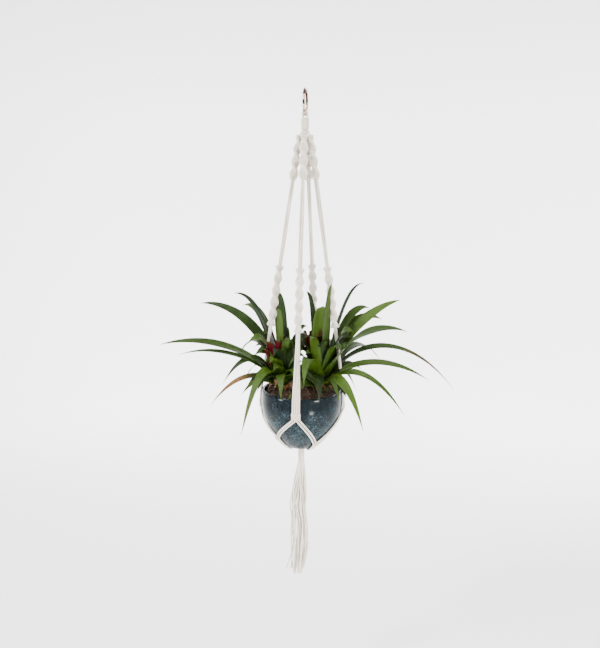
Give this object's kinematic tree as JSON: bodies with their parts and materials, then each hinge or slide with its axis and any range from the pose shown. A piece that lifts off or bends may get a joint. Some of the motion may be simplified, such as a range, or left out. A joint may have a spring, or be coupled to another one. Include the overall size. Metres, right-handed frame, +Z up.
{
  "type": "hanging macrame planter",
  "caption": "Knotted cord plant hanger on a metal ring, holding a round glazed pot of strap-leaved bromeliads in its net, with a long tassel under the pot.",
  "frame": {"origin": "top of the inside of the ring's eye, where a hook bears, in the middle of the wire", "axes": "+Z up, against the hang of the planter; +X to the right leg of the hanger; the ring lies in the YZ plane and the front leg is towards -Y"},
  "size_m": [0.6055, 0.2778, 1.0489],
  "materials": {
    "bronze_ring": "antique bronze, worn bright in places",
    "cotton_cord": "twisted cotton cord, off-white",
    "tassel_cord": "loose cotton cord ends, off-white",
    "glazed_pot": "mottled blue-black reactive glaze, glossy",
    "potting_mix": "damp bark and peat mix",
    "leaf": "waxy green leaf, satin"
  },
  "bodies": {
    "ring": {"hanging_ring": "bronze_ring"},
    "loops": {"ring_loop": "cotton_cord"},
    "hanger": {"base_cords_back_left": "cotton_cord", "base_cords_front_right": "cotton_cord", "base_cords_left_front": "cotton_cord", "base_cords_right_back": "cotton_cord", "drop_cords_back": "cotton_cord", "drop_cords_front": "cotton_cord", "drop_cords_left": "cotton_cord", "drop_cords_right": "cotton_cord", "fork_knot_back": "cotton_cord", "fork_knot_front": "cotton_cord", "fork_knot_left": "cotton_cord", "fork_knot_right": "cotton_cord", "join_knot_back_left": "cotton_cord", "join_knot_front_right": "cotton_cord", "join_knot_left_front": "cotton_cord", "join_knot_right_back": "cotton_cord", "left_bromeliad": "leaf", "lower_twist_back": "cotton_cord", "lower_twist_front": "cotton_cord", "lower_twist_left": "cotton_cord", "lower_twist_right": "cotton_cord", "net_cord_back_to_back_left_lower": "cotton_cord", "net_cord_back_to_back_left_upper": "cotton_cord", "net_cord_back_to_right_back_lower": "cotton_cord", "net_cord_back_to_right_back_upper": "cotton_cord", "net_cord_front_to_front_right_lower": "cotton_cord", "net_cord_front_to_front_right_upper": "cotton_cord", "net_cord_front_to_left_front_lower": "cotton_cord", "net_cord_front_to_left_front_upper": "cotton_cord", "net_cord_left_to_back_left_lower": "cotton_cord", "net_cord_left_to_back_left_upper": "cotton_cord", "net_cord_left_to_left_front_lower": "cotton_cord", "net_cord_left_to_left_front_upper": "cotton_cord", "net_cord_right_to_front_right_lower": "cotton_cord", "net_cord_right_to_front_right_upper": "cotton_cord", "net_cord_right_to_right_back_lower": "cotton_cord", "net_cord_right_to_right_back_upper": "cotton_cord", "plain_cords_back": "cotton_cord", "plain_cords_front": "cotton_cord", "plain_cords_left": "cotton_cord", "plain_cords_right": "cotton_cord", "pot": "glazed_pot", "right_bromeliad": "leaf", "soil": "potting_mix", "top_knot": "cotton_cord", "top_wrap": "cotton_cord", "upper_twist_back": "cotton_cord", "upper_twist_front": "cotton_cord", "upper_twist_left": "cotton_cord", "upper_twist_right": "cotton_cord"},
    "whipping": {"bottom_wrap": "cotton_cord"},
    "tassel": {"tassel": "tassel_cord"}
  },
  "joints": [
    {"name": "loops_round_ring", "type": "hinge", "parent": "ring", "child": "loops", "pos_m": [0, 0, -0.0215], "axis": [1, 0, 0], "range_deg": [-25, 25]},
    {"name": "hanger_sway", "type": "hinge", "parent": "loops", "child": "hanger", "pos_m": [0, 0, -0.0455], "axis": [0, 1, 0], "range_deg": [-30, 30]},
    {"name": "whipping_rock", "type": "hinge", "parent": "hanger", "child": "whipping", "pos_m": [0, 0, -0.7385], "axis": [1, 0, 0], "range_deg": [-8, 8]},
    {"name": "tassel_swing", "type": "hinge", "parent": "whipping", "child": "tassel", "pos_m": [0, 0, -0.78235], "axis": [0, 1, 0], "range_deg": [-35, 35]}
  ]
}
